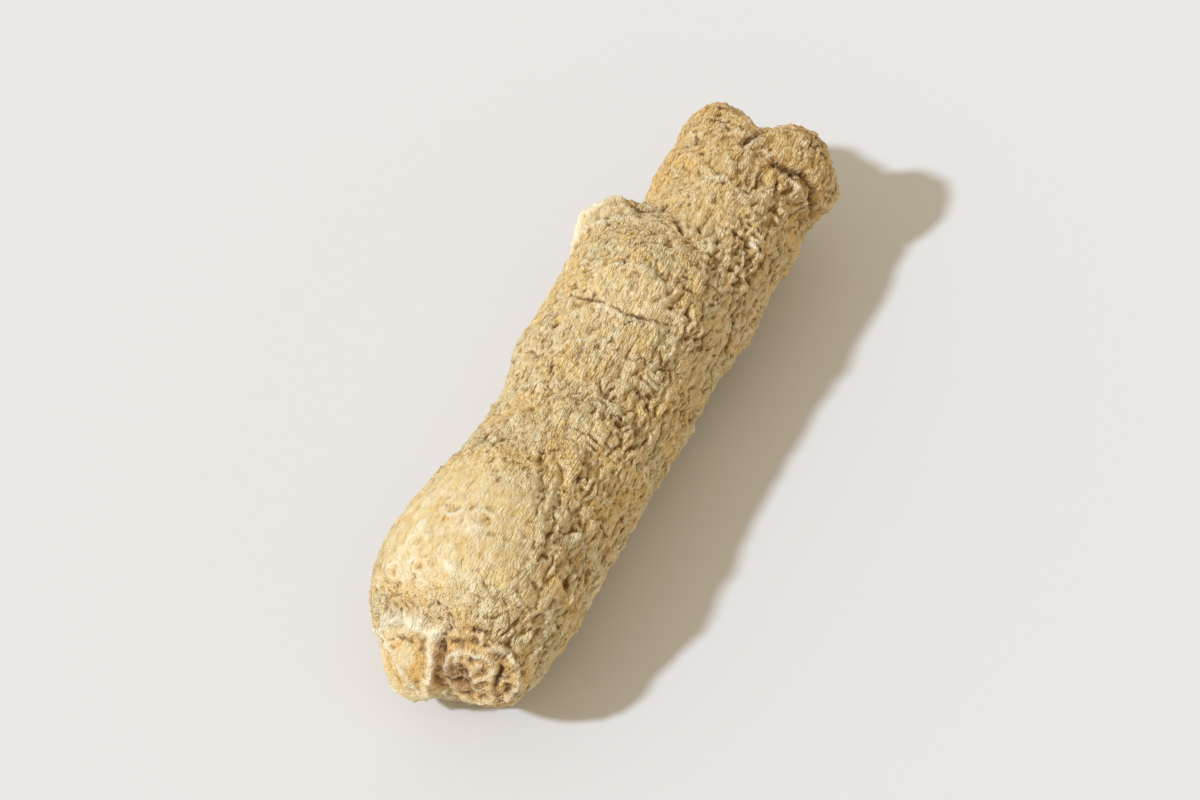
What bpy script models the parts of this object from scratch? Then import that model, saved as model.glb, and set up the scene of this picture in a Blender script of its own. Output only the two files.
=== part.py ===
"""A dried ginseng root, lying on its side: one solid, as it grew.

The root runs along X. Its crown, where the stems grew, is at the -X end, and the
stubs of its two legs are at the +X end. +Y is its left side, where the stub of a
side root stands out, and +Z is up. The origin is on the table, under the middle
of the root's box. It rests on two narrow flats, under its crown and under its hip.
"""

import math

import bmesh
import bpy
from mathutils import Matrix, Vector, noise

MM = 0.001

# The trunk, from the crown's end to the fork.
TRUNK_LENGTH = 71 * MM
CROWN_END_RADIUS = 7.4 * MM
CROWN_RADIUS = 10.4 * MM
WAIST_RADIUS = 9.2 * MM
HIP_RADIUS = 10.1 * MM
NECK_RADIUS = 8.0 * MM
FORK_RADIUS = 8.5 * MM
FORK_END_RADIUS = 6.0 * MM

# Where each of those radii lies, as a share of the trunk's length.
CROWN_AT = 0.11
WAIST_AT = 0.37
HIP_AT = 0.67
NECK_AT = 0.80
FORK_AT = 0.88

# How far the middle line bends to the left.
CROWN_BEND = 0.6 * MM
WAIST_BEND = 0.1 * MM
HIP_BEND = 1.2 * MM
NECK_BEND = -1.0 * MM
FORK_BEND = -0.2 * MM

# How far the underside lifts off the table where the root doesn't rest.
CROWN_END_LIFT = 1.6 * MM
WAIST_LIFT = 0.5 * MM
NECK_LIFT = 1.8 * MM
FORK_LIFT = 1.2 * MM
FORK_END_LIFT = 4.0 * MM

# The scars of two old stems, side by side on the crown's end. Each is an ellipsoid:
# these are half its width, half its height and how far it stands out.
LEFT_SCAR_WIDTH = 3.9 * MM
RIGHT_SCAR_WIDTH = 5.1 * MM
SCAR_HEIGHT = 5.4 * MM
LEFT_SCAR_DEPTH = 4.3 * MM
RIGHT_SCAR_DEPTH = 3.3 * MM
SCAR_SPACING = 7.2 * MM
SCAR_SHIFT = 0.8 * MM
SCAR_DROP = 2.2 * MM

# The two legs, broken short just past the fork, and a fold of skin beside the right one.
LEFT_LEG_RADIUS = 4.0 * MM
RIGHT_LEG_RADIUS = 5.1 * MM
LEG_REACH = 4.6 * MM
LEG_RISE = 1.6 * MM
LEG_SPACING = 8.6 * MM
LEG_STRETCH = 1.25
FOLD_RADIUS = 2.8 * MM
FOLD_OFFSET = 7.4 * MM

# The stub of a side root, which leaves the hip on the left and leans forward.
SIDE_STUB_RADIUS = 4.9 * MM
SIDE_STUB_REACH = 7.2 * MM
SIDE_STUB_STRETCH = 1.2
SIDE_STUB_LIFT = math.radians(25)
SIDE_STUB_LEAN = math.radians(42)

# Shrunken lumps and hollows all over.
LUMP_SIZE = 8.0 * MM
LUMP_HEIGHT = 0.4 * MM

# How deep the belly is pressed flat where the root rests.
REST_FLAT_DEPTH = 0.4 * MM

# The mesh: the shapes are fused on a grid of this step, and their joints smoothed.
RING_SIDES = 32
RINGS = 48
FUSE_STEP = 1.3 * MM
SMOOTH_PASSES = 3
SMOOTH_FACTOR = 0.5
FLAT_WELD = 0.02 * MM

BARK_COLOUR = (0.56, 0.40, 0.20, 1.0)
BARK_ROUGHNESS = 0.85

# (share of the trunk's length, radius, bend, lift), from the crown's end to the fork.
TRUNK_STATIONS = (
    (0, CROWN_END_RADIUS, 0, CROWN_END_LIFT),
    (CROWN_AT, CROWN_RADIUS, CROWN_BEND, 0),
    (WAIST_AT, WAIST_RADIUS, WAIST_BEND, WAIST_LIFT),
    (HIP_AT, HIP_RADIUS, HIP_BEND, 0),
    (NECK_AT, NECK_RADIUS, NECK_BEND, NECK_LIFT),
    (FORK_AT, FORK_RADIUS, FORK_BEND, FORK_LIFT),
    (1, FORK_END_RADIUS, FORK_BEND, FORK_END_LIFT),
)


def eased_part(share, before, after):
    """How far between two stations a share is. Both ends of the trunk close in round domes."""
    part = (share - before[0]) / (after[0] - before[0])
    if before is TRUNK_STATIONS[0]:
        return math.sqrt(1 - (1 - part) ** 2)
    if after is TRUNK_STATIONS[-1]:
        return 1 - math.sqrt(1 - part**2)
    return part * part * (3 - 2 * part)


def trunk_at(share):
    """The trunk's middle point and radius at a share of its length."""
    for before, after in zip(TRUNK_STATIONS, TRUNK_STATIONS[1:]):
        if share <= after[0]:
            part = eased_part(share, before, after)
            radius, bend, lift = (a + (b - a) * part for a, b in zip(before[1:], after[1:]))
            break
    return Vector((share * TRUNK_LENGTH, bend, radius + lift)), radius


def add_trunk(bm):
    """Rings drawn out from the crown's end to the fork, with both ends closed."""
    centre, radius = trunk_at(0)
    upright = Matrix.Rotation(math.pi / 2, 4, "Y")
    first = bmesh.ops.create_circle(
        bm,
        cap_ends=False,
        segments=RING_SIDES,
        radius=radius,
        matrix=Matrix.Translation(centre) @ upright,
    )
    edges = list({edge for vert in first["verts"] for edge in vert.link_edges})
    bmesh.ops.edgeloop_fill(bm, edges=edges)
    for ring_number in range(1, RINGS + 1):
        drawn = bmesh.ops.extrude_edge_only(bm, edges=edges)["geom"]
        edges = [item for item in drawn if isinstance(item, bmesh.types.BMEdge)]
        ring = [item for item in drawn if isinstance(item, bmesh.types.BMVert)]
        next_centre, next_radius = trunk_at(ring_number / RINGS)
        grow = Matrix.Scale(next_radius / radius, 4)
        move = Matrix.Translation(next_centre) @ grow @ Matrix.Translation(-centre)
        bmesh.ops.transform(bm, matrix=move, verts=ring)
        centre, radius = next_centre, next_radius
    bmesh.ops.edgeloop_fill(bm, edges=edges)


def add_ball(bm, centre, half_sizes, turn=Matrix.Identity(4)):
    """An ellipsoid, part of which stands out of the trunk."""
    bmesh.ops.create_uvsphere(
        bm,
        u_segments=RING_SIDES,
        v_segments=RING_SIDES // 2,
        radius=1,
        matrix=Matrix.Translation(centre) @ turn @ Matrix.Diagonal((*half_sizes, 1)),
    )


def add_stem_scars(bm):
    """Two low, wide knobs. The left one is lower, narrower and stands further out."""
    end, _ = trunk_at(0)
    left = end + Vector((0, SCAR_SPACING / 2 - SCAR_SHIFT, -SCAR_DROP / 2))
    right = end + Vector((0, -SCAR_SPACING / 2 - SCAR_SHIFT, SCAR_DROP / 2))
    add_ball(bm, left, (LEFT_SCAR_DEPTH, LEFT_SCAR_WIDTH, SCAR_HEIGHT))
    add_ball(bm, right, (RIGHT_SCAR_DEPTH, RIGHT_SCAR_WIDTH, SCAR_HEIGHT))


def add_legs(bm):
    """The two legs, side by side at the fork, and a fold of skin beside the right one."""
    end, _ = trunk_at(1)
    for side, radius in ((1, LEFT_LEG_RADIUS), (-1, RIGHT_LEG_RADIUS)):
        length = LEG_STRETCH * radius
        middle = end + Vector((LEG_REACH - length, side * LEG_SPACING / 2, LEG_RISE))
        add_ball(bm, middle, (length, radius, length))
    fold = end + Vector((0, -FOLD_OFFSET, 0))
    add_ball(bm, fold, (FOLD_RADIUS, FOLD_RADIUS, FOLD_RADIUS))


def add_side_stub(bm):
    """The stub of the side root, from inside the hip forward and out to the left."""
    centre, _ = trunk_at(HIP_AT)
    lift = Matrix.Rotation(SIDE_STUB_LIFT, 4, "X")
    lean = Matrix.Rotation(-SIDE_STUB_LEAN, 4, "Z")
    turn = lift @ lean
    middle = centre + turn.to_3x3() @ Vector((0, SIDE_STUB_REACH, 0))
    long_radius = SIDE_STUB_STRETCH * SIDE_STUB_RADIUS
    add_ball(bm, middle, (SIDE_STUB_RADIUS, long_radius, SIDE_STUB_RADIUS), turn)


def fused(bm):
    """The shapes joined into one skin, with smoothed joints, as a new mesh."""
    rough = bpy.data.meshes.new("rough_root")
    bm.to_mesh(rough)
    helper = bpy.data.objects.new("rough_root", rough)
    bpy.context.scene.collection.objects.link(helper)
    remesh = helper.modifiers.new("Fuse", "REMESH")
    remesh.mode = "VOXEL"
    remesh.voxel_size = FUSE_STEP
    soften = helper.modifiers.new("Soften", "SMOOTH")
    soften.iterations = SMOOTH_PASSES
    soften.factor = SMOOTH_FACTOR
    graph = bpy.context.evaluated_depsgraph_get()
    mesh = bpy.data.meshes.new_from_object(helper.evaluated_get(graph))
    bpy.data.objects.remove(helper)
    return mesh


def shrink_and_lump(bm):
    """Raises and sinks the skin in soft lumps, as drying leaves it."""
    bm.normal_update()
    moves = [vert.normal * LUMP_HEIGHT * noise.noise(vert.co / LUMP_SIZE) for vert in bm.verts]
    for vert, move in zip(bm.verts, moves):
        vert.co += move


def lay_on_table(bm):
    """Flattens the belly where it is lowest, and puts the origin under the middle of the box."""
    cut = min(vert.co.z for vert in bm.verts) + REST_FLAT_DEPTH
    everything = bm.verts[:] + bm.edges[:] + bm.faces[:]
    sliced = bmesh.ops.bisect_plane(
        bm,
        geom=everything,
        dist=FLAT_WELD,
        plane_co=Vector((0, 0, cut)),
        plane_no=Vector((0, 0, -1)),
        clear_outer=True,
    )
    rim = [item for item in sliced["geom_cut"] if isinstance(item, bmesh.types.BMEdge)]
    bmesh.ops.holes_fill(bm, edges=rim)
    for vert in bm.verts:
        if abs(vert.co.z - cut) <= FLAT_WELD:
            vert.co.z = cut
    low = [min(vert.co[axis] for vert in bm.verts) for axis in range(3)]
    high = [max(vert.co[axis] for vert in bm.verts) for axis in range(3)]
    middle = Vector(((low[0] + high[0]) / 2, (low[1] + high[1]) / 2, low[2]))
    bmesh.ops.translate(bm, verts=bm.verts, vec=-middle)


def bark():
    """Dry, matt, straw-coloured skin."""
    material = bpy.data.materials.new("dried_root_skin")
    material.use_nodes = True
    shader = material.node_tree.nodes["Principled BSDF"]
    shader.inputs["Base Color"].default_value = BARK_COLOUR
    shader.inputs["Roughness"].default_value = BARK_ROUGHNESS
    shader.inputs["Metallic"].default_value = 0.0
    return material


def build_root():
    bm = bmesh.new()
    add_trunk(bm)
    add_stem_scars(bm)
    add_legs(bm)
    add_side_stub(bm)
    mesh = fused(bm)
    bm.free()

    bm = bmesh.new()
    bm.from_mesh(mesh)
    shrink_and_lump(bm)
    lay_on_table(bm)
    bmesh.ops.triangulate(bm, faces=bm.faces)
    bmesh.ops.recalc_face_normals(bm, faces=bm.faces)
    bm.to_mesh(mesh)
    bm.free()
    mesh.shade_smooth()
    mesh.materials.append(bark())
    mesh.name = "ginseng_root"
    root = bpy.data.objects.new("ginseng_root", mesh)
    bpy.context.scene.collection.objects.link(root)
    return root


def clear_scene():
    for old in list(bpy.data.objects):
        bpy.data.objects.remove(old)


clear_scene()
build_root()
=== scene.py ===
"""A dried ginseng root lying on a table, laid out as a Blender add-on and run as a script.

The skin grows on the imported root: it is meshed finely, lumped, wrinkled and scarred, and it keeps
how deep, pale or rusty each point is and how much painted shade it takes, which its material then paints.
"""

import math

import bmesh
import bpy
import numpy as np
from bpy.props import FloatProperty, FloatVectorProperty, IntProperty, PointerProperty
from mathutils import Matrix, Vector, noise
from mathutils.bvhtree import BVHTree


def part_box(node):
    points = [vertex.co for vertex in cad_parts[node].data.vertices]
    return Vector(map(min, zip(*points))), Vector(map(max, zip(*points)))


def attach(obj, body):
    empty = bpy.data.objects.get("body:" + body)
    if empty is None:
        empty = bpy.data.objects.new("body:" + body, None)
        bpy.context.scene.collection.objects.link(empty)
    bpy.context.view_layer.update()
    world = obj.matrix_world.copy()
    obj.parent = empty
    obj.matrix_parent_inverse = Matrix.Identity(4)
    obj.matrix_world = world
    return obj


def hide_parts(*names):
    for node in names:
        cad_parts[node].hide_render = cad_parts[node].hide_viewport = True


bl_info = {
    "name": "Dried Ginseng Root",
    "version": (1, 0, 0),
    "blender": (4, 5, 0),
    "location": "3D View > Sidebar > Root",
    "description": "Grows the wrinkled skin of a dried root and lays it on a lit table",
    "category": "Object",
}

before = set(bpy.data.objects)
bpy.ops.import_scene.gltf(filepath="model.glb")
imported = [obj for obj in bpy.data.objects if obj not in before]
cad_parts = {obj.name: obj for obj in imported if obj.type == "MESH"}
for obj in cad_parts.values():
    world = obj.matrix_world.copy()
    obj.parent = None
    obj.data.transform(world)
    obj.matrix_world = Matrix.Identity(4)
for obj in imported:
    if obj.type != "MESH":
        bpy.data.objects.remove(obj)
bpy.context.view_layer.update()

MM = 0.001
NODE = "ginseng_root"
BODY = "root"
PIECE = "root_skin"

LOW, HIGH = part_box(NODE)
LENGTH = HIGH.x - LOW.x
AXIS_HEIGHT = 9.6 * MM
INSIDE_CROWN = LOW.x + 10 * MM

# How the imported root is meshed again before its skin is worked.
MERGE_GAP = 0.01 * MM
ROUNDING_LEVELS = 2
SOFTEN_FACTOR = 0.5
SOFTEN_PASSES = 4

# What the skin keeps of each point, for its material, and the least and most that it keeps.
KEPT = ("crease", "chalk", "rust_and_shade", "smooth", "coarse_net", "ridge_net", "fine_net", "furrow_net")
KEPT_LEAST, KEPT_MOST = -1, 1.5

# Points further behind a spot than REACH_BEHIND are set OUT_OF_REACH of it, in millimetres.
REACH_BEHIND = 5
OUT_OF_REACH = 1000

# The nets of wrinkles: size, how they are drawn out, turn in degrees, and seed.
COARSE_NET = (1.35 * MM, (0.25, 1, 1), 15, 5)
RIDGE_NET = (0.85 * MM, (0.33, 1, 1), -20, 12)
FINE_NET = (0.54 * MM, (0.4, 1, 1), 10, 19)
FURROW_NET = (1.1 * MM, (0.16, 1, 1), 6, 17)
RIDGE_WEIGHT, FINE_WEIGHT = 0.72, 0.52
FURROW_WIDTH = 0.20

# The smooth part of the crown: its middle as a share of the length and an angle round, and
# where it starts and ends to fade, in millimetres from there.
SMOOTH_SPOT = (0.15, 76)
SMOOTH_START, SMOOTH_END = 5, 12

# The patterns in the skin's colour and fine relief, from the widest to the finest.
PATCH_SIZE = 5 * MM
GOLD_SIZE = 2.6 * MM
ASH_SIZE = 1.7 * MM
BREAK_SIZE = 1.3 * MM
CHIP_SIZE = 0.50 * MM
CLOSE_FOLD_SIZE = 0.46 * MM
CLOSE_CREST_SIZE = 0.33 * MM
SPECK_SIZE = 0.24 * MM
RELIEF_DEPTH = 0.20 * MM
RELIEF_STRENGTH = 0.8
SHEEN_LEVEL = 0.35

# Where the lamp stands, seen from above, and the colour behind the table.
LAMP_SIDE = (-0.797, 0.605, 0)
BACKDROP = (0.76, 0.77, 0.79, 1)
TABLE_ROUGHNESS = 0.6

# The camera's aim, its angles round and up, and its distance.
VIEW_AIM = (0, 0, 9 * MM)
VIEW_ROUND = math.radians(-64.2)
VIEW_UP = math.radians(50)
VIEW_DISTANCE = 0.5
VIEW_NEAREST = 0.01

# Where the scars of rootlets lie on the crown: share of the length, angle round, radius in mm.
RING_SCARS = (
    (0.114, 62, 1.1),
    (0.080, 71, 0.8),
    (0.168, 74, 1.1),
    (0.160, 93, 1.4),
    (0.078, 47, 0.9),
)

# The same round the sides and under the root.
LOW_SCARS = (
    (0.22, 192, 1.1),
    (0.39, 168, 0.8),
    (0.53, 205, 1.2),
    (0.68, 184, 0.8),
    (0.31, 335, 0.9),
    (0.47, 352, 0.8),
    (0.60, 12, 1.0),
    (0.79, 200, 0.9),
    (0.34, 268, 1.0),
    (0.57, 262, 0.8),
    (0.76, 275, 0.9),
)

RING_HEIGHT = 0.17

# Where the skin of the crown is dry and white, given the same way.
CHALK_DABS = (
    (0.098, 52, 0.8), (0.088, 64, 0.7), (0.070, 56, 0.6), (0.135, 60, 0.7), (0.066, 74, 0.6),
    (0.135, 92, 0.9),
)

# Lines that run over the skin, by their places in millimetres. First the left stem scar.
LEFT_CAP = (
    (-36.0, 6.0, 10.0), (-35.9, 5.2, 11.7), (-36.0, 3.9, 12.9), (-36.3, 2.0, 13.3), (-36.5, 0.0, 13.1),
)
LEFT_RIM = ((-36.6, 0.0, 12.9), (-37.7, 0.2, 11.5), (-38.6, -0.4, 9.3), (-38.7, 0.3, 7.4), (-38.6, -0.1, 5.8))
LEFT_RIDGE = ((-36.2, 5.9, 9.8), (-38.2, 4.3, 9.8), (-39.5, 2.2, 8.8), (-39.6, 0.9, 7.3), (-38.5, 0.2, 4.9))
LEFT_SLIVER = ((-37.6, 5.6, 8.6), (-38.7, 4.4, 7.6), (-39.2, 2.9, 6.1))
LEFT_EDGE = ((-36.5, 6.6, 8.0), (-37.8, 5.6, 6.2), (-38.5, 3.8, 4.6), (-38.3, 1.5, 3.8))

# The gap between the two scars.
CREVICE = (
    (-36.6, -0.6, 13.2), (-37.3, -0.9, 12.2), (-38.1, -1.1, 10.9), (-38.6, -1.2, 9.4), (-38.0, -1.3, 7.0),
)

# The stained fold over both scars.
SCAR_BROW = ((-34.9, 5.6, 13.2), (-35.0, 2.5, 14.8), (-35.2, -0.5, 15.2), (-35.5, -3.5, 15.2))

# The right stem scar: the petals about its hollow, from the inside out.
PETAL_RAYS = (
    ((-38.3, -3.0, 11.8), (-37.9, -3.1, 13.2)),
    ((-38.4, -3.9, 12.0), (-37.9, -4.2, 13.6)),
    ((-38.5, -4.8, 11.8), (-38.0, -5.6, 13.2)),
    ((-38.6, -5.2, 11.1), (-38.3, -6.4, 12.1)),
    ((-38.7, -5.4, 10.2), (-38.5, -6.9, 10.6)),
)
INNER_PETAL = ((-38.3, -1.9, 10.8), (-37.8, -2.2, 12.2), (-37.6, -3.3, 13.6), (-37.7, -4.9, 13.9))
MIDDLE_PETAL = ((-37.7, -4.9, 13.9), (-37.5, -6.1, 14.0), (-37.7, -7.0, 13.2), (-38.4, -6.8, 11.9))
OUTER_PETAL = (
    (-37.3, -5.8, 14.6), (-36.4, -6.9, 14.9), (-36.2, -8.1, 14.1), (-36.5, -8.9, 12.5),
    (-37.1, -9.2, 11.0), (-37.8, -8.4, 9.2),
)
PETAL_GAP = ((-38.4, -7.5, 11.2), (-37.9, -7.7, 12.5), (-37.1, -7.7, 13.4), (-36.8, -6.9, 14.2))
LOWER_PETAL = ((-37.7, -1.4, 5.6), (-38.4, -3.5, 6.4), (-38.6, -5.3, 7.6), (-38.5, -7.3, 9.0))
SLIT = ((-38.5, -2.1, 9.1), (-38.7, -3.3, 9.6))
LOWER_SLIT = ((-38.3, -2.0, 7.2), (-38.5, -3.6, 7.9), (-38.8, -5.2, 9.4))

# The split over the scale on the hip, the stub of the side root, the neck and the legs.
SCALE_CRACK = (
    (4.4, 5.4, 17.8), (4.0, 4.2, 18.5), (3.8, 1.9, 19.4), (3.4, -0.8, 19.4), (3.9, -2.9, 19.1),
    (4.5, -4.3, 18.6), (5.6, -5.9, 17.6),
)
STUB_RIM = ((13.6, 10.3, 12.8), (15.4, 10.4, 13.8), (17.1, 10.0, 14.7), (18.1, 8.8, 16.0), (19.6, 7.3, 15.9))
STUB_ARC = ((14.3, 9.8, 14.6), (15.3, 8.9, 15.6), (15.9, 7.0, 16.8), (16.8, 5.3, 17.1))
STUB_FOLD = ((17.0, 4.9, 17.1), (18.1, 2.7, 17.1), (16.5, 0.6, 18.3))
STUB_HOLLOW = ((14.8, 9.9, 14.2), (16.3, 9.2, 15.2), (17.0, 7.6, 16.4), (18.2, 6.0, 16.4))
STUB_PIT = ((19.8, 4.7, 16.0), (20.8, 3.4, 15.8))
NECK_CREASE = ((20.4, -5.3, 16.7), (20.7, -6.6, 15.8), (20.4, -7.6, 14.7))
NECK_SLIVER = ((20.9, -7.1, 15.2), (20.2, -8.4, 13.5))
LEG_NOTCH = ((31.6, -1.0, 17.4), (32.8, -1.6, 17.2), (33.6, -2.2, 16.8), (35.0, -2.5, 14.5))
LEG_FOLD = (
    (30.6, -5.6, 17.0), (31.4, -7.5, 16.0), (31.9, -8.5, 15.2), (31.7, -9.2, 13.7), (31.0, -9.6, 10.5),
)
LEG_WELT = ((23.4, 1.2, 16.9), (24.7, 0.2, 17.4), (25.8, -1.4, 17.6))

# A knob by the legs and a dent at the neck.
LEG_KNOB = (35.8, 0.8, 15.3)
NECK_DENT = (27.6, -9.6, 11.5)

# Pale lines that stand off the skin: their places, then width, height and paleness.
PALE_LINES = (
    (((4.5, -2.0, 19.4), (4.1, -4.5, 18.5), (4.3, -6.6, 16.8), (5.1, -8.5, 13.8)), 0.16, 0.12, 0.60),
    (((-5.8, -0.3, 18.5), (-6.4, -2.8, 18.2), (-6.2, -5.3, 17.2)), 0.15, 0.12, 0.55),
    (((3.2, 1.4, 19.5), (2.8, -1.3, 19.4), (3.6, -3.4, 19.0), (4.2, -5.6, 17.8)), 0.40, 0.10, 0.50),
    (((30.0, -5.7, 16.5), (30.3, -7.5, 15.5), (30.5, -9.0, 13.5), (30.7, -9.6, 11.0)), 0.30, 0.25, 0.35),
    (((26.8, 1.3, 17.4), (25.5, -0.8, 17.6), (25.4, -3.2, 17.3), (24.1, -5.4, 16.5)), 0.30, 0.20, 0.25),
    (((-32.7, -9.2, 13.1), (-33.1, -10.0, 9.5)), 0.35, 0.25, 0.35),
)

# Dark lines that sink in: their places, then width, depth and darkness.
DARK_LINES = (
    (((-15.2, 1.8, 18.8), (-19.4, 0.9, 19.7), (-22.8, 0.3, 20.1)), 0.25, 0.14, 0.35),
    (((1.6, 1.5, 19.1), (-1.3, 1.2, 18.7), (-4.7, 0.6, 18.5)), 0.20, 0.14, 0.35),
    (((0.3, -3.3, 18.4), (-3.2, -3.5, 17.9), (-5.6, -3.5, 18.0)), 0.25, 0.22, 0.40),
    (((-3.1, -5.7, 16.9), (-3.9, -7.6, 15.2), (-7.3, -7.7, 15.2), (-9.9, -8.2, 14.6)), 0.30, 0.25, 0.45),
    (((17.4, -8.5, 13.4), (13.2, -8.9, 12.7), (10.8, -9.4, 10.2)), 0.35, 0.35, 0.50),
    (((19.5, 0.9, 17.1), (17.3, -0.9, 18.0), (15.7, -3.2, 18.2), (15.8, -5.0, 17.5)), 0.50, 0.30, 0.35),
    (((-22.3, -10.2, 9.5), (-28.0, -10.5, 10.1)), 0.35, 0.25, 0.45),
    (((-37.1, -1.6, 13.4), (-36.8, -2.8, 14.2), (-36.7, -4.4, 14.8)), 0.32, 0.35, 0.80),
    (((-36.2, -1.2, 14.4), (-36.0, -2.8, 15.0), (-35.8, -5.2, 15.4)), 0.30, 0.28, 0.60),
    (((-37.5, -0.9, 5.0), (-37.9, -4.0, 5.6), (-38.0, -7.0, 7.6)), 0.40, 0.25, 0.60),
    (((-18.2, -10.0, 9.0), (-17.6, -9.6, 6.4), (-17.8, -8.0, 3.8)), 0.35, 0.28, 0.50),
    (((-4.6, -9.0, 10.0), (-3.8, -9.2, 7.0), (-4.2, -8.2, 4.4)), 0.30, 0.25, 0.45),
    (((9.6, -9.6, 8.6), (8.8, -9.2, 5.4), (9.4, -7.4, 2.8)), 0.35, 0.28, 0.50),
    (((24.0, -8.0, 9.0), (23.4, -8.2, 6.0), (24.2, -6.6, 3.4)), 0.40, 0.30, 0.55),
    (((-9.0, 7.6, 10.6), (-8.4, 8.2, 7.4), (-8.8, 7.2, 4.6)), 0.30, 0.25, 0.45),
    (((3.0, 9.0, 10.0), (3.6, 9.2, 6.8), (3.0, 8.2, 4.0)), 0.30, 0.25, 0.45),
    (((-37.3, 5.2, 9.6), (-37.2, 3.9, 11.3), (-37.5, 2.2, 11.9), (-37.7, 0.8, 11.3)), 0.25, 0.25, 0.50),
)

# Where a few short strokes lie side by side, and how far apart they are, in millimetres.
HATCHES = ((-11.7, -5.0, 17.5), (-1.4, -6.3, 16.5), (21.5, -6.8, 15.0))
STROKE_GAP = 0.8


# ---------------------------------------------------------------- fields over many points


def noise_field(points, size, stretch=(1, 1, 1), seed=0):
    """Smooth noise, about -1 to 1, in lumps of that size. A stretch under 1 draws them out."""
    spots = points * (np.array(stretch) / size) + seed
    return np.array([noise.noise(spot) for spot in spots.tolist()])


def wandering(points, size, amount, seed):
    """The points shifted about by noise, so that a pattern read there wanders."""
    noise.seed_set(seed)
    spots = points / size + seed
    return points + amount * np.array([noise.noise_vector(spot) for spot in spots.tolist()])


def turned(points, degrees):
    """The points turned about the upright axis, so that a drawn-out pattern runs askew."""
    return points @ np.array(Matrix.Rotation(math.radians(degrees), 3, "Z"))


def net_of(points, net):
    """A net of noise over the points, from its size, stretch, turn and seed. Its lines are at 0."""
    size, stretch, turn, seed = net
    return noise_field(turned(points, turn), size, stretch, seed)


def folded(net):
    """Folds that meet in sharp creases where a net of noise is 0, about level 0 on the whole."""
    return 2 * np.abs(net) - 0.5


def lines(points, size, width, stretch=(1, 1, 1), seed=0):
    """1 along thin wandering lines that lie about a size apart, and 0 away from them."""
    return np.clip(1 - np.abs(noise_field(points, size, stretch, seed)) / width, 0, 1)


def hump(value, middle, width):
    """A smooth rise to 1 about a middle value."""
    return np.exp(-(((value - middle) / width) ** 2))


def ramp(value, low, high):
    """0 below low and 1 above high, with soft ends."""
    part = np.clip((value - low) / (high - low), 0, 1)
    return part * part * (3 - 2 * part)


def triangles_of(mesh):
    """How many triangles a mesh has once each face is cut into them."""
    return sum(len(face.vertices) - 2 for face in mesh.polygons)


# ---------------------------------------------------------------- settings


class SkinSettings(bpy.types.PropertyGroup):
    """How finely the skin is meshed, how deep its wrinkles are, and its colours"""

    mesh_step: FloatProperty(
        name="Mesh step", description="Grid that the skin is meshed on",
        default=0.226 * MM, min=0.1 * MM, unit="LENGTH", precision=5,
    )
    most_triangles: IntProperty(
        name="Triangles", description="About how many triangles the finished skin keeps",
        default=192000, min=10000,
    )
    lump_height: FloatProperty(
        name="Lumps", description="Height of the broad shrunken lumps",
        default=0.30 * MM, unit="LENGTH", precision=5,
    )
    fold_height: FloatProperty(
        name="Folds", description="Height of the close, wandering folds",
        default=0.25 * MM, unit="LENGTH", precision=5,
    )
    furrow_depth: FloatProperty(
        name="Furrows", description="Depth of the furrows that run along the root",
        default=0.21 * MM, unit="LENGTH", precision=5,
    )
    dash_depth: FloatProperty(
        name="Dashes", description="Depth of the short creases across the root",
        default=0.20 * MM, unit="LENGTH", precision=5,
    )
    grain_height: FloatProperty(
        name="Grain", description="Height of the finest grain",
        default=0.07 * MM, unit="LENGTH", precision=5,
    )
    sliver_count: IntProperty(
        name="Slivers", description="Number of short dry slivers that stand off the skin",
        default=190, min=0,
    )
    straw: FloatVectorProperty(
        name="Straw", description="Colour of most of the skin",
        subtype="COLOR", default=(0.90, 0.61, 0.222), min=0, max=1,
    )
    cream: FloatVectorProperty(
        name="Cream", description="Colour of the smooth, yellower skin",
        subtype="COLOR", default=(0.775, 0.62, 0.308), min=0, max=1,
    )
    # Partly the skin's own brown in its folds, partly painted shade in the hollows and along the creases of
    # the nets.
    crease: FloatVectorProperty(
        name="Crease", description="Colour in the creases",
        subtype="COLOR", default=(0.32, 0.168, 0.052), min=0, max=1,
    )
    ash: FloatVectorProperty(
        name="Ash", description="Colour of the dull, greyer patches",
        subtype="COLOR", default=(0.76, 0.64, 0.385), min=0, max=1,
    )
    # Painted shade: the near-black put at the bottom of the splits, pits and deepest creases, where shade
    # falls.
    deep: FloatVectorProperty(
        name="Deep", description="Colour at the bottom of the splits",
        subtype="COLOR", default=(0.11, 0.05, 0.018), min=0, max=1,
    )
    chalk: FloatVectorProperty(
        name="Chalk", description="Colour of worn ridges and dry flakes",
        subtype="COLOR", default=(0.92, 0.82, 0.58), min=0, max=1,
    )
    gold: FloatVectorProperty(
        name="Gold", description="Colour of the golden patches",
        subtype="COLOR", default=(0.78, 0.46, 0.128), min=0, max=1,
    )
    # Real stains, and also painted shade on the legs and in the fold between the right leg and the neck.
    rust_and_shade: FloatVectorProperty(
        name="Rust", description="Colour of the stained hollows",
        subtype="COLOR", default=(0.38, 0.16, 0.032), min=0, max=1,
    )


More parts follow.
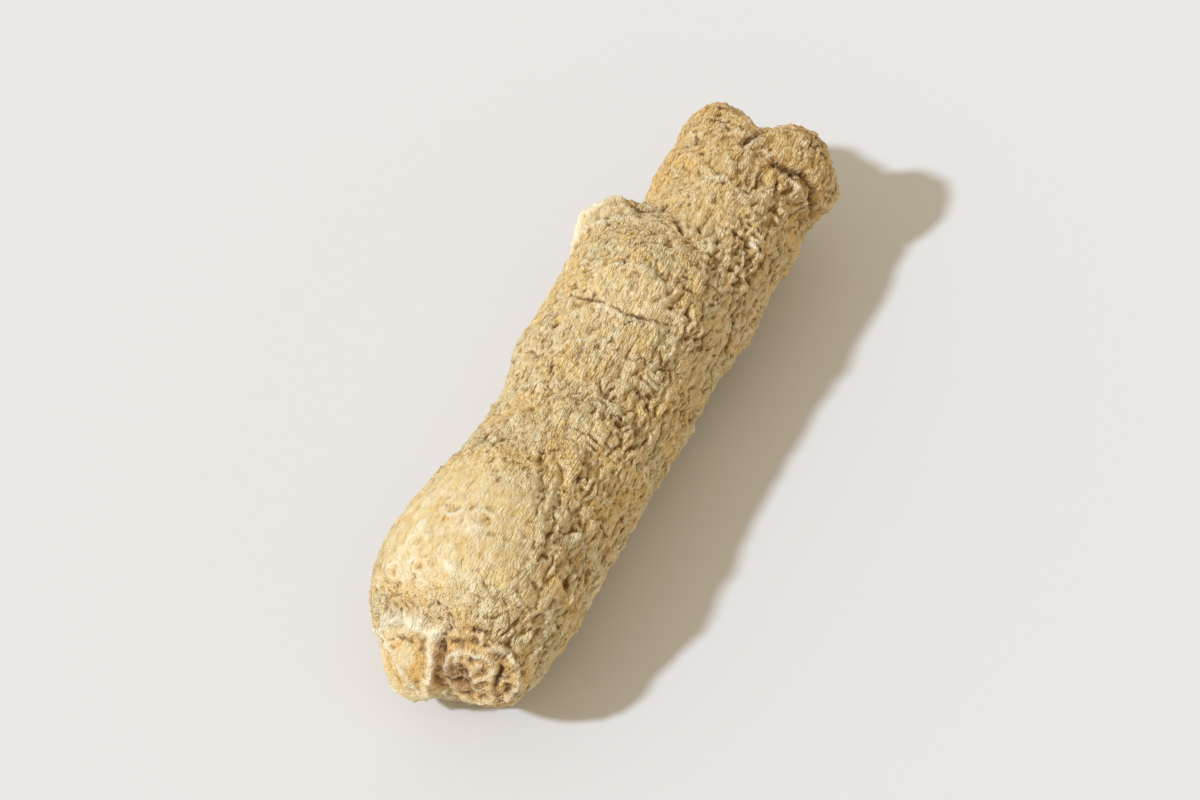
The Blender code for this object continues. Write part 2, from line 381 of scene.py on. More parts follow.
class StageSettings(bpy.types.PropertyGroup):
    """The table, the lamp, the room light and the lens"""

    table_width: FloatProperty(
        name="Table", description="Width of the table top", default=4.0, unit="LENGTH",
    )
    table_colour: FloatVectorProperty(
        name="Table colour", description="Colour of the table top",
        subtype="COLOR", default=(0.78, 0.78, 0.78), min=0, max=1,
    )
    sun_strength: FloatProperty(
        name="Sun", description="Strength of the lamp", default=2.8, min=0,
    )
    sun_colour: FloatVectorProperty(
        name="Sun colour", description="Colour of the lamp",
        subtype="COLOR", default=(0.78, 0.85, 1.0), min=0, max=1,
    )
    sun_elevation: FloatProperty(
        name="Sun elevation", description="Height of the lamp over the table",
        subtype="ANGLE", default=math.radians(43),
    )
    sun_softness: FloatProperty(
        name="Softness", description="Apparent size of the lamp",
        subtype="ANGLE", default=math.radians(4),
    )
    room_colour: FloatVectorProperty(
        name="Room light", description="Light that comes from all round",
        subtype="COLOR", default=(0.59, 0.52, 0.40), min=0, max=1,
    )
    lens: FloatProperty(
        name="Lens", description="Focal length of the camera in millimetres",
        default=148, min=10,
    )


# ---------------------------------------------------------------- the skin


class Skin:
    """The skin's points while it is worked, with how deep, pale and rusty each one becomes, and how much
    painted shade each one takes.
    """

    def __init__(self, mesh):
        count = len(mesh.vertices)
        self.mesh = mesh
        self.points = np.empty(count * 3)
        mesh.vertices.foreach_get("co", self.points)
        self.points = self.points.reshape(-1, 3)
        self.normals = np.empty(count * 3)
        mesh.vertex_normals.foreach_get("vector", self.normals)
        self.normals = self.normals.reshape(-1, 3)
        self.edges = np.empty(len(mesh.edges) * 2, np.int32)
        mesh.edges.foreach_get("vertices", self.edges)
        self.edges = self.edges.reshape(-1, 2)
        for name in ("lift", "calm", *KEPT):
            setattr(self, name, np.zeros(count))
        self.share = (self.points[:, 0] - LOW.x) / LENGTH
        self.wander = noise_field(self.points, 0.8 * MM, seed=68)
        self.worn = 0.8 + 0.9 * noise_field(self.points, 0.55 * MM, seed=69)
        self.broken = 0.5 + 0.5 * ramp(noise_field(self.points, 1.1 * MM, seed=66), -0.3, 0.2)
        self.tree = BVHTree.FromPolygons(
            self.points.tolist(), [tuple(face.vertices) for face in mesh.polygons]
        )

    def spread(self, values, passes):
        """The values averaged over their neighbours along the mesh, that many times."""
        ends, starts = self.edges.T
        count = len(values)
        links = np.bincount(ends, minlength=count) + np.bincount(starts, minlength=count)
        for _ in range(passes):
            sums = np.bincount(ends, values[starts], count) + np.bincount(starts, values[ends], count)
            values = (values + sums / links) / 2
        return values

    def round_spot(self, share, angle):
        """The place on the skin at a share of the length and an angle round from the left side."""
        axis = Vector((LOW.x + share * LENGTH, 0, AXIS_HEIGHT))
        turn = math.radians(angle)
        return self.tree.ray_cast(axis, Vector((0, math.cos(turn), math.sin(turn))))[:2]

    def end_spot(self, left, up):
        """The place on the crown's end at a distance left of the middle and up from the table."""
        inside = Vector((INSIDE_CROWN, left * MM, up * MM))
        return self.tree.ray_cast(inside, Vector((-1, 0, 0)))[:2]

    def nearest(self, place):
        """The place on the skin nearest to one given in millimetres."""
        return self.tree.find_nearest(Vector(place) * MM)[:2]

    def seen_from(self, spot, upward=(1, 0, 0), turn=0):
        """Each point's distance up, to the right and out from a spot, in millimetres."""
        middle, out = spot
        up = Vector(upward)
        up = (up - up.dot(out) * out).normalized()
        up.rotate(Matrix.Rotation(math.radians(turn), 3, out))
        right = up.cross(out)
        seen = (self.points - np.array(middle)) @ np.array([up, right, out]).T / MM
        seen[seen[:, 2] < -REACH_BEHIND] = OUT_OF_REACH
        return seen.T

    def from_path(self, places):
        """Each point's distance in millimetres from a line that runs over the skin through places."""
        stops = [np.array(self.nearest(place)[0]) for place in places]
        far = np.full(len(self.points), np.inf)
        for start, end in zip(stops, stops[1:]):
            run = end - start
            part = np.clip((self.points - start) @ run / (run @ run), 0, 1)
            gap = np.linalg.norm(self.points - start - part[:, None] * run, axis=1)
            far = np.minimum(far, gap)
        return far / MM

    def settle(self):
        """Move every point out by its lift, but not under the table, and write it to the mesh."""
        moved = self.points + self.normals * self.lift[:, None]
        moved[:, 2] = np.maximum(moved[:, 2], 0)
        self.mesh.vertices.foreach_set("co", moved.astype(np.float32).ravel())
        for name in KEPT:
            values = np.clip(getattr(self, name), KEPT_LEAST, KEPT_MOST).astype(np.float32)
            self.mesh.attributes.new(name, "FLOAT", "POINT").data.foreach_set("value", values)
        self.mesh.update()


def meshed_root(step):
    """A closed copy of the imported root, meshed evenly and finely enough to carry its wrinkles."""
    mesh = bpy.data.meshes.new(PIECE)
    bm = bmesh.new()
    bm.from_mesh(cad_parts[NODE].data)
    bmesh.ops.remove_doubles(bm, verts=bm.verts, dist=MERGE_GAP)
    bm.to_mesh(mesh)
    bm.free()
    piece = bpy.data.objects.new(PIECE, mesh)
    bpy.context.scene.collection.objects.link(piece)
    round_off = piece.modifiers.new("round_off", "SUBSURF")
    round_off.levels = round_off.render_levels = ROUNDING_LEVELS
    grid = piece.modifiers.new("grid", "REMESH")
    grid.mode = "VOXEL"
    grid.voxel_size = step
    soften = piece.modifiers.new("soften", "SMOOTH")
    soften.factor = SOFTEN_FACTOR
    soften.iterations = SOFTEN_PASSES
    take_modifiers(piece)
    return piece


def take_modifiers(piece):
    """Make what a piece's modifiers give its own mesh."""
    rough = piece.data
    graph = bpy.context.evaluated_depsgraph_get()
    fine = bpy.data.meshes.new_from_object(piece.evaluated_get(graph))
    piece.modifiers.clear()
    piece.data = fine
    bpy.data.meshes.remove(rough)
    fine.name = PIECE
    fine.polygons.foreach_set("use_smooth", [True] * len(fine.polygons))


def thin_out(piece, most):
    """Merge the flattest faces of a piece until it has about this many triangles."""
    flatten = piece.modifiers.new("flatten", "DECIMATE")
    flatten.ratio = min(1, most / triangles_of(piece.data))
    take_modifiers(piece)


def ring_scar(skin, spot, radius):
    """A round scar where a rootlet came away: a broken pale ring about a shallow pit."""
    up, right, _ = skin.seen_from(spot)
    far = np.hypot(up, 0.85 * right) / radius
    far += 0.30 * noise_field(skin.points, 0.9 * MM, seed=61)
    broken = 0.35 + 0.65 * ramp(noise_field(skin.points, 1.3 * MM, seed=63), -0.3, 0.2)
    inside = 1 - ramp(far, 0.9, 1.4)
    ring = hump(far, 0.85, 0.26) * broken
    skin.calm = np.maximum(skin.calm, 0.6 * inside)
    skin.lift += MM * RING_HEIGHT * (ring - 0.9 * hump(far, 0, 0.5))
    skin.chalk += 0.55 * ring
    skin.crease += 0.35 * hump(far, 0, 0.35) + 0.25 * hump(far, 1.35, 0.2)


def chalk_dab(skin, spot, radius):
    """A ragged dab of dry white skin."""
    up, right, _ = skin.seen_from(spot)
    far = np.hypot(up, right) / radius + 0.5 * noise_field(skin.points, 0.8 * MM, seed=65)
    dab = 1 - ramp(far, 0.4, 1.3)
    skin.chalk += 0.50 * dab
    skin.lift += MM * 0.10 * dab


def welt(skin, places, width, height, pale=0.8):
    """A raised pale line over the skin, worn along its way. A height under 0 makes it a groove."""
    near = hump(skin.from_path(places) + 0.55 * width * skin.wander, 0, width)
    skin.lift += MM * height * near * (0.5 + 0.5 * skin.worn)
    skin.chalk += pale * near * np.clip(skin.worn, 0.1, 1.2)
    return near


def crack(skin, places, width, depth, dark=1.0, ragged=0.6):
    """A thin broken dark split over the skin. The more ragged, the more its edges wander."""
    near = hump(skin.from_path(places) - ragged * width * skin.wander, 0, width) * skin.broken
    skin.lift -= MM * depth * near
    skin.crease += dark * near


def hatch(skin, spot):
    """A few short raised strokes side by side across the root."""
    up, right, out = skin.seen_from(spot)
    stripes = np.cos(up * 2 * math.pi / STROKE_GAP) * hump(up, 0, 1.3) * hump(right, 0, 1.0)
    stripes *= np.abs(out) < 2
    skin.calm = np.maximum(skin.calm, 0.8 * np.abs(stripes))
    skin.lift += MM * 0.16 * stripes
    skin.chalk += 0.50 * np.maximum(stripes, 0)
    skin.crease += 0.60 * np.maximum(-stripes, 0)


def left_stem_scar(skin):
    """A scar like a shield: a thick lumpy cap, a thin rim running to a point and a streaked face."""
    up, right, _ = skin.seen_from(skin.end_spot(2.4, 9.4), (0, 0, 1), -8)
    face = 1 - ramp(np.hypot(up / 4.2, right / 2.7), 0.80, 1.05)
    around = 1 - ramp(np.hypot(up / 5.4, right / 4.0), 0.85, 1.10)
    skin.calm = np.maximum(skin.calm, 0.9 * around)
    streaks = noise_field(skin.points, 0.60 * MM, (1, 1, 0.25), 75)
    skin.lift += MM * face * (0.26 * streaks - 0.50)
    skin.crease += 0.45 * face * ramp(streaks, 0.05, 0.5)
    skin.rust_and_shade += face * (0.10 + 0.40 * ramp(noise_field(skin.points, 1.6 * MM, seed=77), -0.1, 0.4))

    knobs = 1 + 1.1 * noise_field(skin.points, 0.9 * MM, seed=73)
    cap = hump(skin.from_path(LEFT_CAP) + 0.35 * noise_field(skin.points, 1.4 * MM, seed=74), 0, 0.75)
    skin.lift += MM * 0.75 * cap * knobs
    skin.chalk += 1.2 * cap * np.clip(knobs, 0.6, 1)
    welt(skin, LEFT_RIM, 0.40, 0.42 * knobs, 0.62 * np.clip(knobs, 0.2, 1.1))
    welt(skin, LEFT_RIDGE, 0.26, 0.45, 0.80)
    welt(skin, LEFT_EDGE, 0.28, 0.22, 0.60)
    sliver = welt(skin, LEFT_SLIVER, 0.50, -0.35, 0)
    skin.rust_and_shade += 0.65 * sliver


def right_stem_scar(skin):
    """A scar like a rosette: a rusty hollow with pale petals folded back round it."""
    up, right, _ = skin.seen_from(skin.end_spot(-4.9, 10.8), (0, 0, 1))
    around = 1 - ramp(np.hypot(up / 5.0, right / 4.8), 0.80, 1.10)
    skin.calm = np.maximum(skin.calm, 0.45 * around)
    skin.lift += MM * 0.16 * around * noise_field(skin.points, 0.75 * MM, seed=85)
    skin.rust_and_shade += 0.46 * around
    skin.crease += 0.60 * around * ramp(noise_field(skin.points, 0.9 * MM, seed=84), -0.1, 0.4)

    up, right, _ = skin.seen_from(skin.end_spot(-3.7, 10.6), (0, 0, 1))
    away = np.hypot(up / 1.15, right) + 0.5 * noise_field(skin.points, 0.9 * MM, seed=83)
    hollow = 1 - ramp(away, 0.6, 1.9)
    floor = noise_field(skin.points, 0.7 * MM, (1, 0.4, 1), 86)
    skin.lift -= MM * hollow * (0.8 + 0.4 * floor)
    skin.rust_and_shade += 0.85 * (1 - ramp(away, 1.2, 2.4))
    skin.crease += hollow * (0.10 + 0.8 * ramp(floor, -0.1, 0.4))
    for petal in (INNER_PETAL, MIDDLE_PETAL, OUTER_PETAL):
        welt(skin, petal, 0.34, 0.45, 0.50)
    for ray in PETAL_RAYS:
        welt(skin, ray, 0.24, 0.28, 0.40)
    welt(skin, LOWER_PETAL, 0.45, 0.30, 0.50)
    crack(skin, PETAL_GAP, 0.30, 0.45, 1.0)
    crack(skin, SLIT, 0.32, 0.50, 1.1)
    crack(skin, LOWER_SLIT, 0.28, 0.45, 1.1)


def stem_scars(skin):
    """Both scars of the stem, the dark gap between them and the stained fold over them."""
    left_stem_scar(skin)
    right_stem_scar(skin)
    # The gap is partly its own reddish-brown stain and partly painted shade: its crack runs dark enough to
    # reach the painted shade colour of the deepest splits.
    gap = welt(skin, CREVICE, 0.75, -0.30, 0)
    skin.rust_and_shade += 0.8 * gap
    crack(skin, CREVICE, 0.34, 0.55, 1.3, 1.6)
    brow = hump(skin.from_path(SCAR_BROW), 0, 1.3)
    skin.rust_and_shade += 0.25 * brow
    skin.crease += 0.20 * brow


def scale_patch(skin):
    """A rounded scale of thicker skin on top of the hip, split from the skin on its crown side."""
    up, right, _ = skin.seen_from(skin.round_spot(0.577, 90))
    far = np.hypot(up / 3.7, right / 4.5) + 0.12 * noise_field(skin.points, 1.6 * MM, seed=91)
    inside = 1 - ramp(far, 0.84, 1.04)
    leading = ramp(up, -2.0, 1.5) * ramp(right, -4.5, 1.0)
    skin.calm = np.maximum(skin.calm, 0.30 * inside)
    skin.lift += MM * 0.45 * inside * (0.25 + 0.75 * leading)
    skin.chalk += 0.35 * hump(far, 0.90, 0.12) * leading + 0.10 * inside
    # Painted shadow: a dark line just past the raised edge on its far side, where the scale steps down.
    skin.crease += 0.25 * hump(far, 1.12, 0.07) * leading
    crack(skin, SCALE_CRACK, 0.15, 0.28, 0.6)


def stub_end(skin):
    """The broken end of the side root: a thick pale rim, a hollow and a second arc inside it."""
    rim = welt(skin, STUB_RIM, 0.60, 0.50, 0.85)
    welt(skin, STUB_ARC, 0.32, 0.40, 0.65)
    welt(skin, STUB_FOLD, 0.35, 0.25, 0.35)
    hollow = welt(skin, STUB_HOLLOW, 0.55, -0.50, 0.25)
    skin.calm = np.maximum(skin.calm, np.maximum(rim, 0.7 * hollow))
    # The pit's dark runs into the painted shade at its bottom.
    crack(skin, STUB_PIT, 0.80, 1.3, 1.3)


def legs_and_neck(skin):
    """The creases where the legs part, a small knob, and a smooth fan of skin on the neck."""
    crack(skin, LEG_NOTCH, 0.6, 0.5, 0.5)
    # Painted shadow: the fold between the right leg and the neck is darkened wide and stained around it,
    # standing for the shade that falls into the fold.
    crack(skin, LEG_FOLD, 0.55, 0.8, 0.9)
    skin.rust_and_shade += 0.45 * hump(skin.from_path(LEG_FOLD), 0, 1.5)
    crack(skin, NECK_CREASE, 0.26, 0.4, 0.7)
    welt(skin, NECK_SLIVER, 0.22, 0.25, 0.7)
    welt(skin, LEG_WELT, 0.45, 0.22, 0.3)
    skin.lift -= MM * 0.9 * hump(np.linalg.norm(skin.points / MM - np.array(NECK_DENT), axis=1), 0, 2.8)
    knob = hump(np.linalg.norm(skin.points / MM - np.array(LEG_KNOB), axis=1), 0, 1.3)
    skin.lift += MM * 0.6 * knob
    skin.calm = np.maximum(skin.calm, 0.6 * knob)

    up, right, _ = skin.seen_from(skin.round_spot(0.745, 102))
    fan = hump(np.hypot(up / 1.5, right), 0, 2.6)
    skin.calm = np.maximum(skin.calm, 0.7 * fan)
    bearing = np.arctan2(right - 1.0, up + 4.5)
    rays = np.sin(20 * bearing + 1.5 * noise_field(skin.points, 2 * MM, seed=95))
    skin.lift += MM * 0.14 * fan * rays
    skin.crease += 0.3 * fan * np.maximum(-rays, 0) ** 2


def slivers(skin, count):
    """Short dry slivers that stand off the skin, most of them along the root and some across."""
    chance = np.random.default_rng(4)
    for place in chance.choice(len(skin.points), count, replace=False):
        spot = Vector(skin.points[place]), Vector(skin.normals[place])
        lean = chance.normal(0, 30) + 90 * (chance.random() < 0.3)
        long, wide = chance.uniform(0.5, 1.5), chance.uniform(0.12, 0.24)
        height = chance.uniform(0.06, 0.18)
        up, right, out = skin.seen_from(spot, turn=lean)
        sliver = np.exp(-((up / long) ** 2) - ((right + 0.12 * up**2) / wide) ** 2)
        sliver *= np.abs(out) < 1.5
        skin.lift += MM * height * sliver
        skin.chalk += 4 * height * sliver


def wrinkle(skin, sizes):
    """The wrinkles all over: lumps, close folds, long furrows, cross creases and grain."""
    points = skin.points
    live = 1 - skin.calm
    middle = np.array(skin.round_spot(*SMOOTH_SPOT)[0])
    smooth = 1 - ramp(np.linalg.norm(points - middle, axis=1) / MM, SMOOTH_START, SMOOTH_END)
    right_side = ramp(-skin.normals[:, 1], -0.2, 0.8)
    neck = hump(skin.share, 0.83, 0.11) * ramp(-points[:, 1], -1 * MM, 4 * MM)
    uneven = 0.65 + 0.7 * ramp(noise_field(points, 4.5 * MM, seed=33), -0.4, 0.4)

    skin.lift += sizes.lump_height * noise_field(points, 5.5 * MM, seed=3)
    skin.lift += 0.5 * sizes.lump_height * noise_field(points, 2.6 * MM, (0.7, 1, 1), 7)
    skin.lift += 0.35 * sizes.lump_height * noise_field(points, 1.5 * MM, seed=8)

    loose = wandering(points, 1.3 * MM, 0.5 * MM, 11)
    skin.coarse_net = net_of(loose, COARSE_NET)
    skin.ridge_net = net_of(loose, RIDGE_NET)
    skin.fine_net = net_of(loose, FINE_NET)
    strong = (0.75 + 0.40 * neck + 0.45 * right_side) * (1 - 0.6 * smooth) * live * uneven
    crumple = folded(skin.coarse_net) - RIDGE_WEIGHT * folded(skin.ridge_net)
    crumple = crumple + FINE_WEIGHT * folded(skin.fine_net)
    skin.lift += sizes.fold_height * strong * crumple

    skin.furrow_net = net_of(loose, FURROW_NET)
    furrows = np.clip(1 - np.abs(skin.furrow_net) / FURROW_WIDTH, 0, 1)
    furrow_share = (0.35 + 0.65 * right_side) * (1 - 0.8 * smooth) * live
    skin.lift -= sizes.furrow_depth * furrow_share * furrows

    dashes = lines(turned(loose, 15), 1.7 * MM, 0.14, (1, 0.4, 0.4), 23)
    dashes *= ramp(noise_field(points, 1.9 * MM, seed=31), 0.05, 0.3) * live * (1 - 0.9 * smooth)
    skin.lift -= sizes.dash_depth * dashes
    skin.smooth = np.maximum(smooth, skin.calm)

    skin.lift += sizes.grain_height * noise_field(points, 0.45 * MM, (0.6, 1, 1), 41)
    skin.crease += 0.3 * dashes + 0.15 * furrow_share * furrows
    # Partly the root's own ochre, partly painted shade: the neck and legs are darkened where they shade
    # themselves, less on the right side, which the lamp already leaves darker.
    skin.rust_and_shade += (0.34 - 0.14 * right_side) * ramp(skin.share, 0.62, 0.88)
    skin.chalk += 0.35 * smooth * ramp(noise_field(points, 1.6 * MM, seed=97), 0.0, 0.45)
    skin.rust_and_shade += 0.30 * smooth * ramp(noise_field(points, 1.3 * MM, seed=98), 0.05, 0.4)


def shade_hollows(skin):
    """Paint shade into what lies under its surroundings, and pale what stands over them."""
    wide = (skin.spread(skin.lift, 12) - skin.lift) / MM
    close = (skin.spread(skin.lift, 3) - skin.lift) / MM
    stained = 0.45 + 0.55 * ramp(noise_field(skin.points, 2.4 * MM, seed=53), -0.4, 0.3)
    skin.crease += stained * (0.60 * ramp(wide, 0.0, 0.15) + 0.35 * ramp(close, 0.005, 0.05))
    patchy = ramp(noise_field(skin.points, 1.7 * MM, seed=51), -0.3, 0.4)
    skin.chalk += 0.45 * ramp(-wide, 0.015, 0.09) * (0.2 + 0.8 * patchy)


def skin_material(sizes):
    """Dry skin: straw and cream patches, brown creases, chalky ridges and rusty stains, with painted shade in
    the hollows and splits.
    """
    material = bpy.data.materials.new("dried_root_skin")
    material.use_nodes = True
    nodes, links = material.node_tree.nodes, material.node_tree.links
    shader = nodes["Principled BSDF"]
    place = nodes.new("ShaderNodeTexCoord")

    def texture(size, detail, rough, stretch=(1, 1, 1), turn=0):
        mapping = nodes.new("ShaderNodeMapping")
        mapping.inputs["Rotation"].default_value = (0, 0, math.radians(turn))
        mapping.inputs["Scale"].default_value = stretch
        links.new(place.outputs["Object"], mapping.inputs["Vector"])
        node = nodes.new("ShaderNodeTexNoise")
        node.inputs["Scale"].default_value = 1 / size
        node.inputs["Detail"].default_value = detail
        node.inputs["Roughness"].default_value = rough
        links.new(mapping.outputs["Vector"], node.inputs["Vector"])
        return node.outputs["Fac"]

    def spread(value, low, high, out_low=0.0, out_high=1.0):
        node = nodes.new("ShaderNodeMapRange")
        node.interpolation_type = "SMOOTHSTEP"
        node.inputs["From Min"].default_value = low
        node.inputs["From Max"].default_value = high
        node.inputs["To Min"].default_value = out_low
        node.inputs["To Max"].default_value = out_high
        links.new(value, node.inputs["Value"])
        return node.outputs["Result"]

    def mixed(factor, under, over):
        node = nodes.new("ShaderNodeMix")
        node.data_type = "RGBA"
        for socket, value in ((node.inputs[0], factor), (node.inputs[6], under), (node.inputs[7], over)):
            if isinstance(value, bpy.types.NodeSocket):
                links.new(value, socket)
            else:
                socket.default_value = (*value, 1)
        return node.outputs[2]

    def math_of(kind, left, right):
        node = nodes.new("ShaderNodeMath")
        node.operation = kind
        for socket, value in zip(node.inputs, (left, right)):
            if isinstance(value, bpy.types.NodeSocket):
                links.new(value, socket)
            else:
                socket.default_value = value
        return node.outputs[0]

    def weighed(value, weight):
        return math_of("MULTIPLY", value, weight)

    def either(one, other):
        return math_of("MAXIMUM", one, other)

    def kept(name):
        node = nodes.new("ShaderNodeAttribute")
        node.attribute_name = name
        return node.outputs["Fac"]

    def net_lines(net, width):
        """1 along the lines where a net of noise is 0, falling to 0 a little way off."""
        return spread(math_of("ABSOLUTE", net, 0), 0, width, 1, 0)

    straw, cream, chalk = tuple(sizes.straw), tuple(sizes.cream), tuple(sizes.chalk)
    crease, rust_and_shade, gold = tuple(sizes.crease), tuple(sizes.rust_and_shade), tuple(sizes.gold)
    deep, ash = tuple(sizes.deep), tuple(sizes.ash)

    # Broad patches of colour, then chalky chips, and rusty stains that also carry some painted shade.
    rough_skin = math_of("SUBTRACT", 1.0, weighed(kept("smooth"), 0.6))
    patches = either(spread(texture(PATCH_SIZE, 4, 0.6), 0.42, 0.60), weighed(kept("smooth"), 0.7))
    golden = weighed(spread(texture(GOLD_SIZE, 5, 0.65), 0.48, 0.66, 0.0, 0.65), rough_skin)
    ashen = spread(texture(ASH_SIZE, 4, 0.6, (0.6, 1, 1), 30), 0.54, 0.68, 0.0, 0.30)
    chips = texture(CHIP_SIZE, 5, 0.62, (0.35, 1, 1), 8)
    specks = texture(SPECK_SIZE, 3, 0.7)
    base = mixed(patches, straw, cream)
    base = mixed(golden, base, gold)
    base = mixed(ashen, base, ash)
    base = mixed(spread(chips, 0.50, 0.66, 0.0, 0.55), base, chalk)
    base = mixed(spread(kept("rust_and_shade"), 0, 0.55, 0, 0.85), base, gold)
    base = mixed(spread(kept("rust_and_shade"), 0.45, 1.0, 0, 0.95), base, rust_and_shade)
    base = mixed(weighed(spread(chips, 0.34, 0.48, 0.34, 0.0), rough_skin), base, crease)
    base = mixed(weighed(spread(specks, 0.32, 0.46, 0.32, 0.0), rough_skin), base, crease)

    # Dark creases along the nets, partly the skin's own brown and partly painted shade, broken here and
    # there, and pale crests between them.
    close_folds = math_of("SUBTRACT", texture(CLOSE_FOLD_SIZE, 1.5, 0.5, (0.20, 1, 1), 10), 0.5)
    close_crests = math_of("SUBTRACT", texture(CLOSE_CREST_SIZE, 1, 0.5, (0.33, 1, 1), -18), 0.5)
    net = either(net_lines(kept("coarse_net"), 0.10), weighed(net_lines(kept("fine_net"), 0.14), 0.65))
    net = either(net, net_lines(kept("furrow_net"), 0.08))
    net = either(net, weighed(net_lines(close_folds, 0.040), 0.75))
    net = weighed(weighed(net, rough_skin), spread(texture(BREAK_SIZE, 2, 0.5), 0.38, 0.58, 0.25, 1))
    ragged = math_of("ADD", kept("crease"), spread(chips, 0.35, 0.65, 0.15, -0.25))
    ragged = math_of("ADD", ragged, weighed(net, 0.62))
    base = mixed(spread(ragged, 0.10, 1.1, 0.0, 0.95), base, crease)
    crest = either(net_lines(kept("ridge_net"), 0.12), net_lines(close_crests, 0.03))
    crest = weighed(crest, rough_skin)
    base = mixed(weighed(crest, 0.30), base, chalk)
    base = mixed(weighed(kept("chalk"), spread(specks, 0.3, 0.5, 0.6, 1.0)), base, chalk)
    # Painted shade: near-black where the creases run darkest, at the bottom of the splits and pits.
    base = mixed(spread(ragged, 1.05, 1.6, 0.0, 0.80), base, deep)
    links.new(base, shader.inputs["Base Color"])
    links.new(spread(chips, 0.3, 0.7, 0.95, 0.70), shader.inputs["Roughness"])
    shader.inputs["Specular IOR Level"].default_value = SHEEN_LEVEL

    # The finest relief, too fine for the mesh.
    bump = nodes.new("ShaderNodeBump")
    bump.inputs["Strength"].default_value = RELIEF_STRENGTH
    bump.inputs["Distance"].default_value = RELIEF_DEPTH
    fold_sides = math_of("ABSOLUTE", close_folds, 0)
    fine_folds = math_of("SUBTRACT", fold_sides, math_of("ABSOLUTE", close_crests, 0))
    height = math_of("ADD", weighed(chips, rough_skin), weighed(specks, 0.4))
    height = math_of("SUBTRACT", height, weighed(net, 0.35))
    height = math_of("ADD", height, weighed(weighed(fine_folds, rough_skin), 4.6))
    links.new(height, bump.inputs["Height"])
    links.new(bump.outputs["Normal"], shader.inputs["Normal"])
    return material


# ---------------------------------------------------------------- operators


class GINSENG_OT_root(bpy.types.Operator):
    """Grow the wrinkled skin of the root"""

    bl_idname = "ginseng.root"
    bl_label = "Root"

    def execute(self, context):
        sizes = context.scene.ginseng_skin
        piece = meshed_root(sizes.mesh_step)
        skin = Skin(piece.data)
        for share, angle, radius in RING_SCARS + LOW_SCARS:
            ring_scar(skin, skin.round_spot(share, angle), radius)
        for share, angle, radius in CHALK_DABS:
            chalk_dab(skin, skin.round_spot(share, angle), radius)
        stem_scars(skin)
        scale_patch(skin)
        stub_end(skin)
        legs_and_neck(skin)
        for line, width, height, pale in PALE_LINES:
            welt(skin, line, width, height, pale)
        for line, width, depth, dark in DARK_LINES:
            crack(skin, line, width, depth, dark)
        for place in HATCHES:
            hatch(skin, skin.nearest(place))
        slivers(skin, sizes.sliver_count)
        wrinkle(skin, sizes)
        shade_hollows(skin)
        skin.settle()
        thin_out(piece, sizes.most_triangles)
        piece.data.materials.clear()
        piece.data.materials.append(skin_material(sizes))
        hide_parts(NODE)
        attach(piece, BODY)
        return {"FINISHED"}


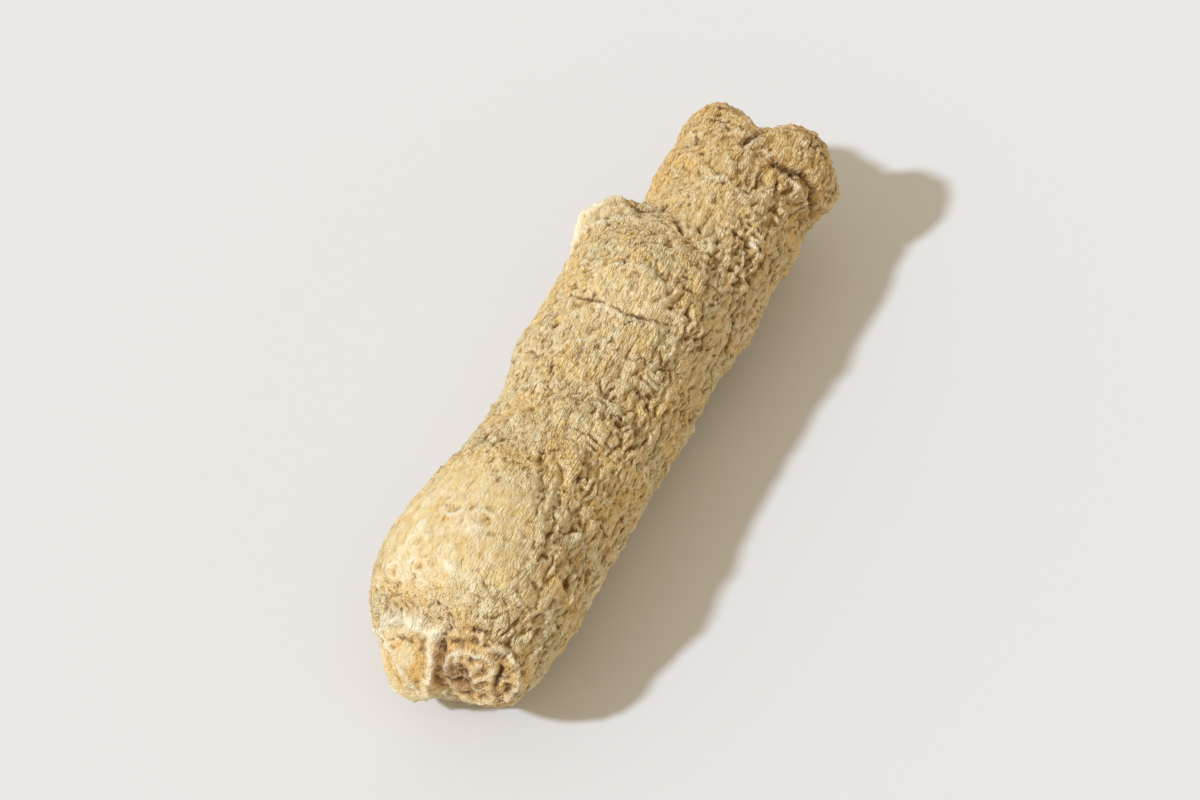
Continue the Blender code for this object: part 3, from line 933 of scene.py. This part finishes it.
class GINSENG_OT_stage(bpy.types.Operator):
    """Set up the table, the lamp, the room light and the camera"""

    bl_idname = "ginseng.stage"
    bl_label = "Stage"

    def execute(self, context):
        stage = context.scene.ginseng_stage
        self.table(stage)
        self.lamp(stage)
        self.room(context.scene, stage)
        self.camera(context.scene, stage)
        context.scene.view_settings.view_transform = "Standard"
        return {"FINISHED"}

    def table(self, stage):
        """A wide flat top, which isn't part of the object"""
        mesh = bpy.data.meshes.new("table_top")
        bm = bmesh.new()
        bmesh.ops.create_grid(bm, x_segments=1, y_segments=1, size=stage.table_width / 2)
        bm.to_mesh(mesh)
        bm.free()
        top = bpy.data.objects.new("table_top", mesh)
        bpy.context.scene.collection.objects.link(top)
        material = bpy.data.materials.new("pale_table")
        material.use_nodes = True
        shader = material.node_tree.nodes["Principled BSDF"]
        shader.inputs["Base Color"].default_value = (*stage.table_colour, 1)
        shader.inputs["Roughness"].default_value = TABLE_ROUGHNESS
        mesh.materials.append(material)

    def lamp(self, stage):
        """One soft lamp, left of the camera"""
        lamp = bpy.data.lights.new("sun", "SUN")
        lamp.energy = stage.sun_strength
        lamp.color = stage.sun_colour
        lamp.angle = stage.sun_softness
        holder = bpy.data.objects.new("sun", lamp)
        bpy.context.scene.collection.objects.link(holder)
        rise = Vector((0, 0, math.sin(stage.sun_elevation)))
        away = Vector(LAMP_SIDE) * math.cos(stage.sun_elevation) + rise
        holder.rotation_euler = away.to_track_quat("Z", "Y").to_euler()

    def room(self, scene, stage):
        """Light from all round, and a pale backdrop that only the camera sees"""
        world = bpy.data.worlds.new("room")
        scene.world = world
        world.use_nodes = True
        nodes, links = world.node_tree.nodes, world.node_tree.links
        light = nodes["Background"]
        light.inputs["Color"].default_value = (*stage.room_colour, 1)
        seen = nodes.new("ShaderNodeBackground")
        seen.inputs["Color"].default_value = BACKDROP
        path = nodes.new("ShaderNodeLightPath")
        either = nodes.new("ShaderNodeMixShader")
        links.new(path.outputs["Is Camera Ray"], either.inputs[0])
        links.new(light.outputs[0], either.inputs[1])
        links.new(seen.outputs[0], either.inputs[2])
        links.new(either.outputs[0], nodes["World Output"].inputs["Surface"])

    def camera(self, scene, stage):
        """The camera over the crown's end, looking along the root"""
        camera = bpy.data.cameras.new("camera")
        camera.lens = stage.lens
        camera.clip_start = VIEW_NEAREST
        holder = bpy.data.objects.new("camera", camera)
        scene.collection.objects.link(holder)
        flat = math.cos(VIEW_UP)
        back = Vector((math.sin(VIEW_ROUND) * flat, -math.cos(VIEW_ROUND) * flat, math.sin(VIEW_UP)))
        holder.location = Vector(VIEW_AIM) + VIEW_DISTANCE * back
        holder.rotation_euler = back.to_track_quat("Z", "Y").to_euler()
        scene.camera = holder


class GINSENG_PT_sidebar(bpy.types.Panel):
    """Lists what grows the root and sets the stage"""

    bl_label = "Dried Ginseng Root"
    bl_idname = "GINSENG_PT_sidebar"
    bl_space_type = "VIEW_3D"
    bl_region_type = "UI"
    bl_category = "Root"

    def draw(self, context):
        for operator in OPERATORS:
            self.layout.operator(operator.bl_idname)


OPERATORS = (GINSENG_OT_root, GINSENG_OT_stage)
CLASSES = (SkinSettings, StageSettings, *OPERATORS, GINSENG_PT_sidebar)


def register():
    for kind in CLASSES:
        bpy.utils.register_class(kind)
    bpy.types.Scene.ginseng_skin = PointerProperty(type=SkinSettings)
    bpy.types.Scene.ginseng_stage = PointerProperty(type=StageSettings)


def unregister():
    del bpy.types.Scene.ginseng_stage
    del bpy.types.Scene.ginseng_skin
    for kind in reversed(CLASSES):
        bpy.utils.unregister_class(kind)


def main():
    """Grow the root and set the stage."""
    register()
    bpy.ops.ginseng.root()
    bpy.ops.ginseng.stage()


if __name__ == "__main__":
    main()
